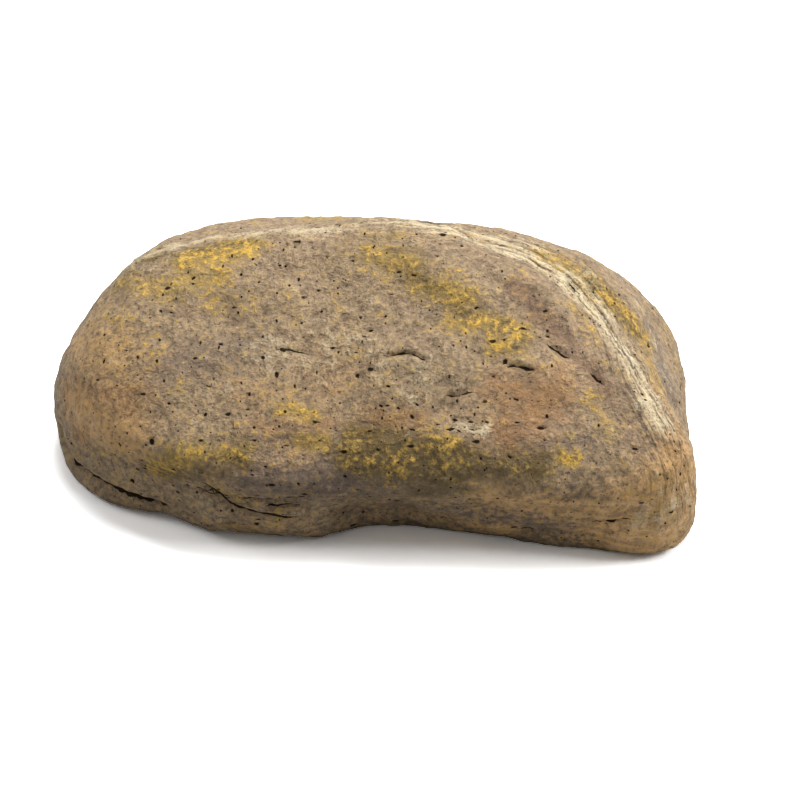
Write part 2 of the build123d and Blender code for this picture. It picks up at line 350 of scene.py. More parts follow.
def footRadii(angles, centre, inside):
    # the base plate's outline, read from the CAD mesh, plus its clearance
    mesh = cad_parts["rock_base"].data
    points = 1000 * np.array([v.co for v in mesh.vertices])[:, :2] - centre
    around = np.arctan2(points[:, 1], points[:, 0])
    reach = np.hypot(points[:, 0], points[:, 1])
    keep = reach > inside["plateHole"]
    around, reach = around[keep], reach[keep]
    outline = []
    for slot in np.linspace(-pi, pi, inside["outlinePoints"] + 1)[:-1]:
        near = np.abs((around - slot + pi) % (2 * pi) - pi) < inside["outlineReach"]
        if near.any():
            best = np.argmax(np.where(near, reach, 0))
            outline.append((around[best], reach[best]))
    outline = sorted(set(outline))
    a = np.array([p[0] for p in outline])
    r = np.array([p[1] for p in outline])
    a = np.concatenate((a - 2 * pi, a, a + 2 * pi))
    return np.interp(angles, a, np.tile(r, 3)) + inside["plateGap"]


def buildSkin(grid, inside):
    top, number, edge = skinDirections(grid)
    rows = grid["rows"]
    patch = (drawnPoints(top) - drawnMiddle) * stretch
    band = (bandPoints(top[edge], grid) - drawnMiddle) * stretch
    columns = len(edge)
    points = [patch, band.reshape(-1, 3)]
    outer = len(patch) + rows * columns

    centre = patch[np.argmax(patch[:, 2])][:2]
    foot = band[-1, :, :2] - centre
    angles = np.arctan2(foot[:, 1], foot[:, 0])
    mouth = footRadii(angles, centre, inside)
    ledge, wide, round_ = inside["ledgeHeight"], inside["ledgeWidth"], inside["edgeRound"]
    rings = [((np.hypot(foot[:, 0], foot[:, 1]) + mouth) / 2, 0.0), (mouth + round_, 0.0), (mouth, round_),
             (mouth, ledge / 2), (mouth, ledge), (mouth - wide, ledge)]
    for turn in inside["domeTurns"]:
        rings.append(((mouth - wide) * cos(radians(turn)),
                      ledge + (inside["hollowTop"] - ledge) * sin(radians(turn))))
    for reach, height in rings:
        ring = np.stack((centre[0] + reach * np.cos(angles), centre[1] + reach * np.sin(angles),
                         np.full(columns, height)), -1)
        points.append(ring)
    points.append(np.array([(*centre, inside["hollowTop"])]))
    points = np.concatenate(points)

    faces = np.stack((number[:-1, :-1], number[:-1, 1:], number[1:, 1:], number[1:, :-1]), -1).reshape(-1, 4)
    loops = [edge]
    start = len(patch)
    for _ in range(rows + len(rings)):
        loops.append(np.arange(start, start + columns))
        start += columns
    quads = [faces]
    for upper, lower in zip(loops[:-1], loops[1:]):
        quads.append(np.stack((upper, lower, np.roll(lower, -1), np.roll(upper, -1)), -1))
    quads = np.concatenate(quads)
    last = loops[-1]
    fan = np.stack((last, np.full(columns, start), np.roll(last, -1)), -1)
    mesh = bpy.data.meshes.new("rockSkin")
    mesh.from_pydata((points * 0.001).tolist(), [], quads.tolist() + fan.tolist())
    mesh.update()
    mesh.shade_smooth()
    return mesh, points, outer


skinMesh, skinPoints, outerCount = buildSkin(skinGrid, insideSettings)
print("skin:", len(skinMesh.polygons), "faces")


# ---- weathering: lumps, grain, cracks and pits, all in mm on the skin

weather = {
    "lumps": {"wave": 15.0, "rise": 0.60, "octaves": 3},
    "knots": {"wave": 5.5, "rise": 0.30, "octaves": 3},
    "grit": {"wave": 1.8, "rise": 0.17, "octaves": 2},
    "grain": {"wave": 1.25, "rise": 0.38},
    "beds": {"wave": 1.9, "rise": 0.12},
}

sculpted = [
    # start, end, spread, rise
    ((-46, -24, 16), (-31, -32, 20), 3.4, 0.9), ((-31, -32, 20), (-13, -31, 24), 3.4, 0.8),
    ((-13, -31, 24), (-4, -35, 21), 3.0, 0.5), ((-4, -35, 21), (12, -35, 24), 3.4, 0.9),
    ((12, -35, 24), (30, -33, 25), 4.0, 0.6), ((4, -22, 30), (12, -22, 30), 5.0, 0.9),
    ((-8, -8, 38), (-8, -26, 27), 4.5, -0.7), ((20, -6, 38), (30, -15, 34), 3.4, -0.8),
    ((30, -15, 34), (42, -30, 26), 3.4, -0.9), ((44, 6, 28), (51, -8, 21), 3.5, -0.7),
    ((-30, -34, 13), (-12, -36, 11), 2.2, -0.6), ((-26, -36, 9), (-10, -37, 8), 3.0, 0.7),
    ((-40, -14, 31), (-20, -18, 31), 6.0, 0.4), ((24, -36, 14), (44, -40, 14), 5.0, -0.6),
    ((-2, -30, 25), (-2, -36, 18), 3.5, -0.6), ((16, -38, 18), (20, -38, 8), 3.5, -0.5),
    ((-54, -18, 4), (-45, -27, 3), 6.5, 2.7), ((0, -35.6, 6), (20, -35.6, 6), 3.0, 1.3),
    ((45, -39, 3), (51, -36, 4), 4.0, 0.8), ((-30, 10, 36), (0, 12, 38), 9.0, -1.4),
    ((-47, 0, 28), (-40, 4, 33), 6.0, 1.0), ((53, 4, 20), (57, -14, 15), 6.5, -1.3),
    ((28, -38, 4), (36, -39, 4), 5.0, -1.5), ((-14, -36, 0), (30, -38, 0), 2.2, -1.1),
]
footLip = {"height": 3.0, "spread": 1.8, "rise": 0.35, "cut": 0.5}    # it overhangs where it meets the ground

cracks = {
    # points, half width, depth, how ragged
    "foot crack": ([(-57.8, -13.0, 9.5), (-56.5, -16.5, 7.5), (-54.8, -19.8, 6.0), (-52.0, -22.7, 5.0),
                    (-47.0, -27.3, 4.6), (-42.0, -30.8, 4.0), (-37.0, -32.3, 3.2)], 0.50, 1.4, 0.6),
    "lip crack": ([(-29.5, -34.2, 15.5), (-28.6, -34.5, 14.3), (-26.1, -34.9, 12.0), (-24.5, -35.0, 10.2),
                   (-20.9, -35.4, 9.1), (-17.7, -35.7, 8.8), (-12.0, -36.0, 8.2)], 0.18, 0.8, 0.5),
    "lip slit": ([(-18.6, -35.9, 10.6), (-15.6, -36.0, 10.4), (-13.5, -36.2, 10.9), (-11.5, -36.3, 10.8)],
                 0.16, 0.8, 0.3),
    "lip fold": ([(-31.1, -33.4, 13.1), (-28.5, -34.4, 12.6), (-23.9, -35.3, 11.6), (-18.7, -36.2, 11.7),
                  (-13.9, -36.8, 12.9), (-9.1, -36.8, 13.6)], 0.10, 0.45, 0.9),
    "mound crack": ([(1.4, -20.3, 30.7), (4.8, -20.0, 31.1), (7.2, -19.8, 31.3), (8.2, -20.6, 30.9),
                     (9.6, -21.4, 30.4)], 0.20, 0.7, 1.2),
    "mound slit": ([(12.1, -27.0, 27.5), (13.6, -26.6, 27.7), (15.3, -26.7, 27.7), (17.6, -26.0, 28.1)],
                   0.20, 0.7, 1.2),
    "groove crack": ([(22.5, -22.6, 30.4), (24.4, -22.3, 30.5), (26.1, -22.7, 30.4), (28.3, -23.8, 29.9)],
                     0.22, 0.6, 0.8),
    "groove slit": ([(29.6, -18.2, 32.9), (31.3, -19.3, 32.3), (32.8, -20.2, 31.7), (34.0, -21.1, 31.3)],
                    0.26, 0.9, 0.5),
    "crest nick": ([(34.6, 0.5, 31.7), (35.8, -0.4, 31.3), (37.0, -1.7, 30.7)], 0.24, 0.6, 0.7),
    "low nick": ([(37.1, -22.9, 30.1), (38.8, -24.1, 29.3), (40.1, -25.1, 28.6)], 0.24, 0.6, 0.7),
    "scratch": ([(-17.8, -18.7, 30.7), (-14.9, -18.4, 30.9), (-12.3, -18.8, 30.8), (-10.2, -19.4, 30.6)],
                0.16, 0.35, 0.5),
    "nose crack": ([(36.6, -39.3, 9.4), (38.9, -39.5, 9.4), (41.4, -39.6, 10.2), (44.0, -39.6, 11.1)],
                   0.26, 0.7, 0.8),
    "foot nick": ([(24.7, -35.1, 4.1), (26.2, -35.6, 4.0), (28.3, -36.2, 4.1)], 0.30, 0.8, 0.8),
    "crown split": ([(12.4, -32.6, 24.5), (13.6, -32.4, 24.7), (14.6, -32.3, 24.8)], 0.36, 1.1, 0.6),
    "crown pock": ([(15.9, -32.4, 24.8), (17.2, -32.2, 24.9), (18.3, -32.1, 24.9)], 0.34, 1.0, 0.6),
    "back crack": ([(-30, 30, 22), (-24, 33, 19), (-17, 34, 18), (-8, 35, 17), (2, 37, 13)], 0.17, 0.8, 1.0),
    "back slit": ([(20, 32, 22), (25, 31, 21), (28, 28, 22), (33, 24, 21)], 0.16, 0.7, 0.9),
    "end crack": ([(54, 6, 14), (56, 0, 11), (57, -8, 10)], 0.15, 0.6, 0.9),
    "left crack": ([(-52, 14, 20), (-54, 8, 17), (-55, 3, 16), (-56, -2, 13)], 0.15, 0.6, 1.0),
}

pits = {
    # radius, depth: places
    (0.50, 0.60): [(-37.2, -29.6, 20.0), (-19.9, -35.0, 5.8), (-41.4, -26.4, 8.9), (14.1, -30.7, 25.5)],
    (0.38, 0.45): [(-15.5, -0.6, 39.5), (-17.9, -35.9, 19.8), (-31.7, -33.2, 13.1), (-46.3, -17.2, 27.6),
                   (-16.3, -22.3, 28.6), (6.8, -30.0, 25.6), (4.6, -28.4, 26.3), (28.4, -32.6, 25.1),
                   (16.6, -31.1, 25.4), (-13.5, -0.2, 39.8)],
}

crackSway = {"seed": 1795567039, "wave": 2.2}     # with its seed, every run cuts the same cracks

smallPits = {"seed": 7, "count": 90, "radius": (0.24, 0.34), "depth": 0.95}

crestLine = [(-22, 3, 39), (-7.5, 4.9, 41), (10.1, 6.5, 40.0), (18.3, 7.0, 36.4), (26.1, 4.2, 34.3),
             (32.3, 1.1, 32.6), (36.6, -1.5, 30.8), (40.3, -7.0, 28.7), (43.1, -13.4, 27.7),
             (46.7, -23.5, 26.2), (49.4, -28.5, 23.7), (52.3, -33.2, 18.8), (53.7, -35.7, 11.9), (54, -34, 2)]


def sampleNoise(points, wave, octaves, shift=0.0):
    offset = Vector((shift, shift * 0.7, -shift))
    return np.array([noise.fractal(Vector(p) / wave + offset, 0.9, 2.1, octaves) for p in points])


def smoothPath(points, steps=6):
    # a curve through the points
    points = np.array(points, float)
    padded = np.concatenate((points[:1] * 2 - points[1:2], points, points[-1:] * 2 - points[-2:-1]))
    out = []
    for a, b, c, d in zip(padded, padded[1:], padded[2:], padded[3:]):
        for t in np.arange(steps) / steps:
            out.append(0.5 * (2 * b + (c - a) * t + (2 * a - 5 * b + 4 * c - d) * t ** 2
                              + (3 * b - a - 3 * c + d) * t ** 3))
    return np.array(out + [points[-1]])


def alongPath(points, path, normals=None):
    # distance to a path, how far along it, its length, and the distance to its side
    best = np.full(len(points), 1e9)
    along = np.zeros(len(points))
    side = np.zeros(len(points))
    gone = 0.0
    for start, end in zip(path[:-1], path[1:]):
        run = end - start
        length = np.linalg.norm(run)
        t = np.clip((points - start) @ run / length ** 2, 0, 1)
        offset = points - start - t[:, None] * run
        if normals is not None:
            offset = offset - np.einsum("ij,ij->i", offset, normals)[:, None] * normals
        distance = np.linalg.norm(offset, axis=1)
        nearer = distance < best
        best = np.where(nearer, distance, best)
        along = np.where(nearer, gone + t * length, along)
        if normals is not None:
            across = unit(np.cross(normals, run))
            side = np.where(nearer, np.sign(np.einsum("ij,ij->i", offset, across)) * distance, side)
        gone += length
    return best, along, gone, side


def skinTree(points):
    tree = kdtree.KDTree(len(points))
    for index, p in enumerate(points):
        tree.insert(p, index)
    tree.balance()
    return tree


def cutCracks(points, normals, tree):
    # a soft groove in the mesh, and the values that draw the dark line of painted shade at its bottom
    noise.seed_set(crackSway["seed"])
    values = {"groove": np.zeros(len(points)), "crackGap": np.full(len(points), 4.0),
              "crackHalf": np.zeros(len(points))}
    reach = np.full(len(points), 2.5)
    for path, half, depth, ragged in cracks.values():
        path = smoothPath([tree.find(p)[0] for p in path], 4)
        close = np.flatnonzero(alongPath(points, path)[0] < 4)
        near = points[close]
        sway = np.array([noise.noise_vector(Vector(p) / crackSway["wave"]) for p in near]) * ragged * 0.5
        distance, gone, length, side = alongPath(near + sway, path, normals[close])
        throb = np.array([noise.fractal(Vector(p) / 1.6 + Vector((7, 1, 4)), 1.0, 2.0, 2) for p in near])
        ends = smooth(gone, 0, 1.6) * smooth(length - gone, 0, 1.6)
        cut = depth * np.exp(-(distance / (half + 0.35)) ** 2) * ends
        values["groove"][close] = np.maximum(values["groove"][close], cut)
        nearer = distance < reach[close]
        picked = close[nearer]
        reach[picked] = distance[nearer]
        values["crackGap"][picked] = side[nearer]
        values["crackHalf"][picked] = (half * ends * np.clip(1 + ragged * throb * 1.6, 0.3, 2.2))[nearer]
    return values


def sinkPits(points, tree):
    shares, sunk = np.zeros(len(points)), np.zeros(len(points))
    rng = np.random.default_rng(smallPits["seed"])
    holes = [(place, *size) for size, places in pits.items() for place in places]
    some = points[::7]
    chances = 0.15 + smooth(sampleNoise(some, 12, 2, 40), -0.1, 0.4)
    chances = chances * (0.5 + smooth(some[:, 2], 14, 26))
    for pick in rng.choice(len(some), smallPits["count"], replace=False, p=chances / chances.sum()):
        radius = rng.uniform(*smallPits["radius"])
        holes.append((some[pick], radius, radius * smallPits["depth"]))
    for place, radius, depth in holes:
        turn, longer = rng.uniform(0, pi), rng.uniform(1.0, 2.0)
        lengthwise = np.array((cos(turn), sin(turn), 0))
        for co, index, gap in tree.find_range(place, radius * 5):
            along = (np.array(co) - np.array(place)) @ lengthwise
            gap = np.sqrt(max(gap ** 2 - along ** 2 * (1 - longer ** -2), 0))
            gap = gap * (1 + 0.6 * noise.noise(Vector(co) / 0.9))
            share = np.exp(-(gap / radius) ** 2)
            shares[index] = max(shares[index], share)
            sunk[index] = max(sunk[index], depth * share)
    return shares, sunk


def reliefOf(points, normals):
    # how far each vertex moves along its normal, and the values that the paint follows
    lumps, knots, grit = weather["lumps"], weather["knots"], weather["grit"]
    broad = sampleNoise(points, lumps["wave"], lumps["octaves"]) * lumps["rise"]
    for lift in swell(points, sculpted):
        broad += lift
    broad += footLip["rise"] * np.exp(-((points[:, 2] - footLip["height"]) / footLip["spread"]) ** 2)
    broad -= footLip["cut"] * np.exp(-points[:, 2] ** 2)
    middle = sampleNoise(points, knots["wave"], knots["octaves"], 11) * knots["rise"]
    fine = sampleNoise(points, grit["wave"], grit["octaves"], 23) * grit["rise"]

    reach, along, _, side = alongPath(points, smoothPath(crestLine), normals)
    wave = weather["grain"]["wave"]
    grain = np.array([noise.fractal(Vector((a / 10, b / wave, 3.1)), 0.9, 2.1, 3)
                      for a, b in zip(along, side)])
    grain = 1 - 2.2 * np.abs(grain)
    grainShare = np.exp(-(reach / 9) ** 2) * smooth(points[:, 0], -14, 16) * smooth(points[:, 2], 2, 12)
    grainShare = grainShare * smooth(normals[:, 2], -0.3, 0.2)
    wave = weather["beds"]["wave"]
    beds = np.array([noise.fractal(Vector((p[0] / 13, p[1] / 13, p[2] / wave)), 0.8, 2.1, 3) for p in points])
    bedShare = smooth(-points[:, 1], 24, 33) * smooth(22 - points[:, 2], 0, 6)
    streaks = weather["grain"]["rise"] * (grain - 0.55) * grainShare
    streaks = streaks + weather["beds"]["rise"] * beds * bedShare
    tree = skinTree(points)
    values = cutCracks(points, normals, tree)
    values["pit"], sunk = sinkPits(points, tree)
    dents = np.maximum(values.pop("groove"), sunk)
    values.update({"grain": grainShare, "beds": bedShare, "along": along, "side": side,
                   "proud": np.clip(0.5 + 1.7 * (fine + 0.5 * middle + streaks), 0, 1)})
    return broad + middle + fine + streaks - dents, values


def weatherSkin(mesh, points, outer):
    normals = np.empty(len(mesh.vertices) * 3, np.float32)
    mesh.vertex_normals.foreach_get("vector", normals)
    normals = normals.reshape(-1, 3)[:outer].astype(float)
    skin = points[:outer].copy()
    edgeRow = skin[:, 2] <= 1e-6
    normals[edgeRow, 2] = 0
    normals[edgeRow] = unit(normals[edgeRow])
    relief, values = reliefOf(skin, normals)
    moved = skin + normals * relief[:, None]
    settle = smooth(skin[:, 2], 0, 1.2)
    moved[:, 2] = np.maximum(skin[:, 2] + (moved[:, 2] - skin[:, 2]) * settle, 0)
    points[:outer] = moved
    mesh.vertices.foreach_set("co", (points * 0.001).astype(np.float32).ravel())
    mesh.update()
    # painted shade: a mask that darkens the low skin facing the floor
    values["under"] = smooth(5 - skin[:, 2], 0, 5) * smooth(-normals[:, 2], 0.1, 0.6)
    return skin, values


skinPlain, skinValues = weatherSkin(skinMesh, skinPoints, outerCount)
print("weathering is cut")


# ---- where each paint colour lies on the skin

paintRuns = {
    # start, end, spread, strength
    "ochre": [((-32, -1, 37), (-21, 1, 39), 3.5, 1), ((-37, -7, 35), (-27, -5, 37), 3.5, 0.7),
              ((-27, -10, 35), (-19, -10, 35), 4, 0.35), ((-44, -11, 32), (-39, -16, 30), 4, 0.35),
              ((0, -3, 40), (7, -5, 40), 3, 0.8), ((-4, 0, 41), (5, 1, 42), 3, 0.5),
              ((8, -9, 38), (16, -11, 37), 3, 0.8), ((14, -15, 34), (18, -15, 34), 2.5, 0.8),
              ((19, -15, 35), (25, -17, 33), 3, 0.8), ((21, -19, 32), (24, -19, 32), 2.5, 0.8),
              ((30, 6, 34), (39, 2, 30), 3.0, 0.9), ((40, 2, 30), (49, -5, 24), 3.2, 1),
              ((49, -8, 24), (51, -20, 21), 2.5, 0.6), ((-43, -2, 32), (-37, -7, 35), 3, 0.7),
              ((35, -10, 34), (39, -17, 31), 2, 0.5), ((-38, -29, 14), (-30, -33, 20), 2.5, 1),
              ((-30, -33, 20), (-21, -34, 21), 2, 0.6), ((-48, -22, 12), (-42, -27, 15), 2, 0.5),
              ((-15, -28, 25), (-10, -29, 25), 1.8, 0.9), ((-12, -33, 23), (-8, -33, 22), 1.8, 1),
              ((-4, -35, 21), (1, -37, 20), 2.5, 0.6), ((10, -34, 24), (18, -36, 22), 2.5, 0.5),
              ((4, -36, 21), (10, -37, 21), 2.5, 0.5), ((32, -36, 22), (34, -37, 22), 1.5, 0.8),
              ((37, -28, 28), (40, -33, 25), 2, 0.5), ((46, -40, 11), (51, -38, 12), 3, 0.4),
              ((-27, -35, 14), (-21, -36, 11), 1.5, 0.5), ((-25, -34, 5), (-18, -34, 3), 1.5, 0.5),
              ((12, -38, 21), (17, -37, 22), 2, 0.6), ((-10, 20, 34), (14, 22, 32), 5, 0.7),
              ((-44, 14, 26), (-50, 4, 20), 4, 0.6), ((30, 26, 24), (42, 20, 20), 4, 0.6)],
    "moss": [((-2, -34, 22), (14, -37, 21), 4.5, 1), ((-36, -31, 14), (-22, -35, 20), 3, 0.5),
             ((18, -38, 21), (28, -38, 21), 4, 0.6), ((8, -38, 16), (15, -39, 18), 4, 0.5),
             ((-42, 2, 34), (-22, 2, 39), 3, 0.5), ((5, -6, 39), (25, -18, 33), 4, 0.4),
             ((39, 3, 30), (47, -4, 24), 3, 0.6), ((-16, 30, 20), (10, 34, 18), 6, 0.6),
             ((48, 14, 14), (50, 4, 10), 5, 0.5)],
    "rust": [((-53, -16, 19), (-41, -24, 24), 5, 0.6), ((-21, -26, 26), (-5, -24, 28), 4, 0.25),
             ((1, -30, 25), (8, -32, 25), 4, 0.6), ((23, -33, 25), (30, -28, 28), 6, 0.7),
             ((22, -27, 28), (32, -25, 29), 5, 0.6), ((46, -40, 11), (51, -36, 17), 6, 0.5),
             ((48, -25, 25), (51, -32, 22), 4, 0.5), ((-20, -31, 24), (-7, -30, 24), 3, 0.5),
             ((-51, -19, 14), (-45, -23, 23), 4, 0.5), ((0, 34, 16), (22, 32, 14), 7, 0.6),
             ((-34, 28, 14), (-46, 18, 10), 6, 0.5)],
    # amber: orange paint, and painted light brightening the nose and the low front strip
    "amberAndPaintedLight": [((44, -41, 9), (53, -36, 13), 9, 1.3), ((-53, -18, 18), (-41, -27, 19), 5, 0.7),
              ((-30, -34, 18), (-12, -34, 21), 3.5, 0.3), ((-22, -26, 27), (0, -23, 28), 4, 0.2),
              ((20, -38, 15), (36, -39, 12), 5, 0.6), ((-50, -8, 24), (-44, -16, 27), 6, 0.6),
              ((-24, -37, 5), (-12, -38, 5), 3, 0.5), ((2, -35, 4), (22, -36, 4), 3.5, 0.9),
              ((48, -20, 22), (53, -26, 16), 4, 0.5), ((20, 30, 20), (-20, 34, 16), 5, 0.4)],
    "wine": [((25, -9, 38), (32, -16, 34), 3, 0.7), ((32, -16, 34), (40, -26, 28), 3, 0.6),
             ((40, -26, 28), (44, -33, 24), 2.5, 0.4)],
    # slate: slate-grey patches on the top, and painted shade darkening the front faces and the brow below the
    # shoulder
    "slateAndFrontShade": [((-30, -9, 35), (-24, -12, 34), 4, 0.6), ((-35, -20, 29), (-23, -18, 31), 5, 0.6),
              ((-25, -21, 29), (-19, -15, 33), 4, 0.4), ((8, -11, 36), (17, -13, 35), 4, 0.4),
              ((-19, -37, 18), (1, -38, 16), 6, 0.9), ((22, -37, 9), (36, -39, 8), 5, 0.8),
              ((3, -34, 7), (17, -35, 9), 5, 0.6), ((45, -34, 24), (48, -37, 20), 3, 0.5),
              ((51, 0, 21), (53, -13, 18), 4, 0.8), ((36, 30, 8), (-20, 36, 8), 8, 0.5),
              ((-20, -33, 23), (-8, -32, 24), 3.5, 0.45), ((26, -34, 24), (36, -34, 24), 4, 0.5),
              ((-58, -10, 8), (-56, 2, 16), 4.5, 0.5)],
    "spongy": [((-20, -29, 25), (22, -29, 26), 6, 1), ((4, -21, 31), (15, -22, 31), 6, 0.9),
               ((-12, 0, 40), (10, -8, 39), 6, 0.5), ((-48, -14, 24), (-38, -20, 26), 6, 0.6),
               ((44, -34, 18), (50, -36, 14), 6, 0.6), ((-20, 32, 18), (20, 32, 18), 8, 0.5)],
    # chalk: cream paint along the crest, and a painted highlight along the top rim, the upper left rim and
    # the nose
    "chalkAndHighlight": [((-8, 4, 41), (10, 5, 41), 3, 0.8), ((10, 5, 41), (26, 4, 34), 3.6, 0.9),
              ((26, 4, 34), (37, -2, 31), 4.4, 1), ((37, -2, 31), (43, -13, 28), 4.6, 1),
              ((43, -13, 28), (49, -28, 24), 4.2, 0.9), ((-44, 2, 32), (-31, 7, 37), 3, 0.8),
              ((-31, 7, 37), (-7, 4, 41), 2.5, 0.8), ((-52, -4, 26), (-44, 2, 32), 2.5, 0.6),
              ((15, -32, 25), (19, -33, 25), 1.5, 0.9), ((1, -22, 30), (12, -25, 28), 4, 0.6),
              ((48, 5, 23), (53, -12, 19), 2.5, 0.6), ((12, 10, 38), (30, 9, 33), 3, 0.7),
              ((-18, -20, 30), (-2, -15, 33), 5, 0.45), ((-30, 24, 28), (-4, 27, 27), 4, 0.5),
              ((46, -40, 9), (52, -36, 12), 5, 0.6)],
}


def storeValues(mesh, name, values):
    full = np.zeros(len(mesh.vertices), np.float32)
    full[:len(values)] = values
    mesh.attributes.new(name, "FLOAT", "POINT").data.foreach_set("value", full)


for colour, runs in paintRuns.items():
    storeValues(skinMesh, colour, np.max(swell(skinPlain, runs), 0))
for valueName, values in skinValues.items():
    storeValues(skinMesh, valueName, values)
print("paint is laid out")


# ---- materials

def startMaterial(name):
    material = bpy.data.materials.new(name)
    material.use_nodes = True
    tree = material.node_tree
    tree.nodes.clear()
    shader = addNode(tree, "ShaderNodeBsdfPrincipled")
    plug(tree, shader.outputs[0], addNode(tree, "ShaderNodeOutputMaterial").inputs["Surface"])
    place = addNode(tree, "ShaderNodeTexCoord").outputs["Object"]
    return material, tree, shader, place


def stretched(tree, place, scale, turn=(0, 0, 0)):
    node = addNode(tree, "ShaderNodeMapping")
    plug(tree, place, node.inputs["Vector"])
    node.inputs["Scale"].default_value = scale
    node.inputs["Rotation"].default_value = turn
    return node.outputs[0]


def cloud(tree, place, size, detail=4.0, rough=0.6, distortion=0.0):
    # size is the width of one blotch in mm
    node = addNode(tree, "ShaderNodeTexNoise")
    plug(tree, place, node.inputs["Vector"])
    node.inputs["Scale"].default_value = 1000 / size
    node.inputs["Detail"].default_value = detail
    node.inputs["Roughness"].default_value = rough
    node.inputs["Distortion"].default_value = distortion
    return node.outputs["Fac"]


def between(tree, value, low, high, start=0.0, end=1.0):
    node = addNode(tree, "ShaderNodeMapRange", interpolation_type="SMOOTHSTEP")
    plug(tree, value, node.inputs["Value"])
    node.inputs["From Min"].default_value = low
    node.inputs["From Max"].default_value = high
    node.inputs["To Min"].default_value = start
    node.inputs["To Max"].default_value = end
    return node.outputs["Result"]


def layer(tree, share, under, over, mode="MIX"):
    node = addNode(tree, "ShaderNodeMix", data_type="RGBA", blend_type=mode)
    plug(tree, share, node.inputs[0])
    plug(tree, under, node.inputs[6])
    plug(tree, over, node.inputs[7])
    return node.outputs[2]


def ramp(tree, value, stops):
    node = addNode(tree, "ShaderNodeValToRGB")
    plug(tree, value, node.inputs[0])
    band = node.color_ramp
    for _ in range(len(stops) - 2):
        band.elements.new(0.5)
    for element, (at, colour) in zip(band.elements, stops):
        element.position = at
        element.color = (*colour, 1)
    return node.outputs["Color"]


def painted(tree, name):
    return addNode(tree, "ShaderNodeAttribute", attribute_name=name).outputs["Fac"]


def frayed(tree, place, size, reach):
    # places pushed about by up to reach mm, for ragged edges
    node = addNode(tree, "ShaderNodeTexNoise")
    plug(tree, place, node.inputs["Vector"])
    node.inputs["Scale"].default_value = 1000 / size
    node.inputs["Detail"].default_value = 2
    centred = addNode(tree, "ShaderNodeVectorMath", operation="SUBTRACT")
    plug(tree, node.outputs["Color"], centred.inputs[0])
    centred.inputs[1].default_value = (0.5, 0.5, 0.5)
    moved = addNode(tree, "ShaderNodeVectorMath", operation="MULTIPLY_ADD")
    plug(tree, centred.outputs[0], moved.inputs[0])
    moved.inputs[1].default_value = (reach * 0.002,) * 3
    plug(tree, place, moved.inputs[2])
    return moved.outputs[0]


def bumps(tree, layers):
    # each layer is a height, its strength and its depth in mm
    normal = None
    for height, strength, depth in layers:
        node = addNode(tree, "ShaderNodeBump")
        plug(tree, height, node.inputs["Height"])
        plug(tree, strength, node.inputs["Strength"])
        plug(tree, depth * 0.001, node.inputs["Distance"])
        if normal is not None:
            plug(tree, normal, node.inputs["Normal"])
        normal = node.outputs[0]
    return normal


def coat(tree, shader, colour, roughness, shine, normal):
    values = {"Base Color": colour, "Roughness": roughness, "Specular IOR Level": shine, "Normal": normal}
    for name, value in values.items():
        plug(tree, value, shader.inputs[name])


def pinholes(tree, place, cell, size, chance):
    # scattered holes: one in each cell of a broken pattern, of its own size, or none
    node = addNode(tree, "ShaderNodeTexVoronoi", feature="F1")
    plug(tree, place, node.inputs["Vector"])
    node.inputs["Scale"].default_value = 1000 / cell
    parts = addNode(tree, "ShaderNodeSeparateColor")
    plug(tree, node.outputs["Color"], parts.inputs[0])
    there = combine(tree, "LESS_THAN", parts.outputs[0], chance)
    reach = timesPlus(tree, parts.outputs[1], size * 0.6 / cell, size * 0.4 / cell)
    gap = combine(tree, "DIVIDE", node.outputs["Distance"], reach)
    return times(tree, between(tree, gap, 0.55, 1.0, 1.0, 0.0), there)


def toned(tree, colour, tone):
    grey = addNode(tree, "ShaderNodeCombineColor")
    for channel in range(3):
        plug(tree, tone, grey.inputs[channel])
    return layer(tree, 1.0, colour, grey.outputs[0], "MULTIPLY")


stonePaint = {
    "shade": (0.075, 0.044, 0.022),
    "umber": (0.235, 0.150, 0.078),
    "taupe": (0.375, 0.262, 0.150),
    "tan": (0.495, 0.358, 0.212),
    "slateAndFrontShade": (0.225, 0.160, 0.112),
    "rust": (0.350, 0.180, 0.068),
    "wine": (0.260, 0.155, 0.095),
    "moss": (0.130, 0.082, 0.016),
    "olive": (0.400, 0.265, 0.070),
    "mustard": (0.470, 0.290, 0.050),
    "amberAndPaintedLight": (0.720, 0.430, 0.175),
    "ochre": (0.680, 0.410, 0.065),
    "chalkAndHighlight": (0.840, 0.700, 0.450),
    "pit": (0.012, 0.008, 0.006),
    "roughness": (0.44, 0.70),
    "shine": 0.40,
}

stoneNoise = {
    # width of one blotch in mm, detail, roughness, distortion
    "broad": (16, 5, 0.62, 0.4),
    "blotch": (5.0, 6, 0.66, 0.3),
    "knot": (2.4, 4, 0.60, 0.2),
    "speck": (1.1, 5, 0.70, 0.0),
    "dust": (0.45, 3, 0.60, 0.0),
}

stonePatches = [
    # where, colour, noise that breaks its edge, its weight, the place's weight, start, full, most
    ("slateAndFrontShade", "slateAndFrontShade", "blotch", 0.5, 0.75, 0.30, 0.90, 0.85),
    ("rust", "rust", "knot", 0.75, 0.60, 0.40, 0.88, 0.85),
    ("wine", "wine", "blotch", 0.6, 0.70, 0.38, 0.85, 0.80),
    ("amberAndPaintedLight", "amberAndPaintedLight", "speck", 0.8, 0.60, 0.40, 0.85, 0.80),
    ("ochre", "olive", "broad", 0.7, 0.50, 0.40, 0.85, 0.80),
    ("moss", "moss", "knot", 0.6, 0.80, 0.36, 0.84, 0.92),
]

stoneHoles = [
    # stretch, turn, size of a cell and of its hole in mm, chance
    ((0.50, 1.0, 1.2), (0.3, 0, 0.5), 2.5, 0.46, 0.68),
    ((1.1, 0.6, 0.9), (0, 0.4, -0.4), 1.9, 0.34, 0.80),
]


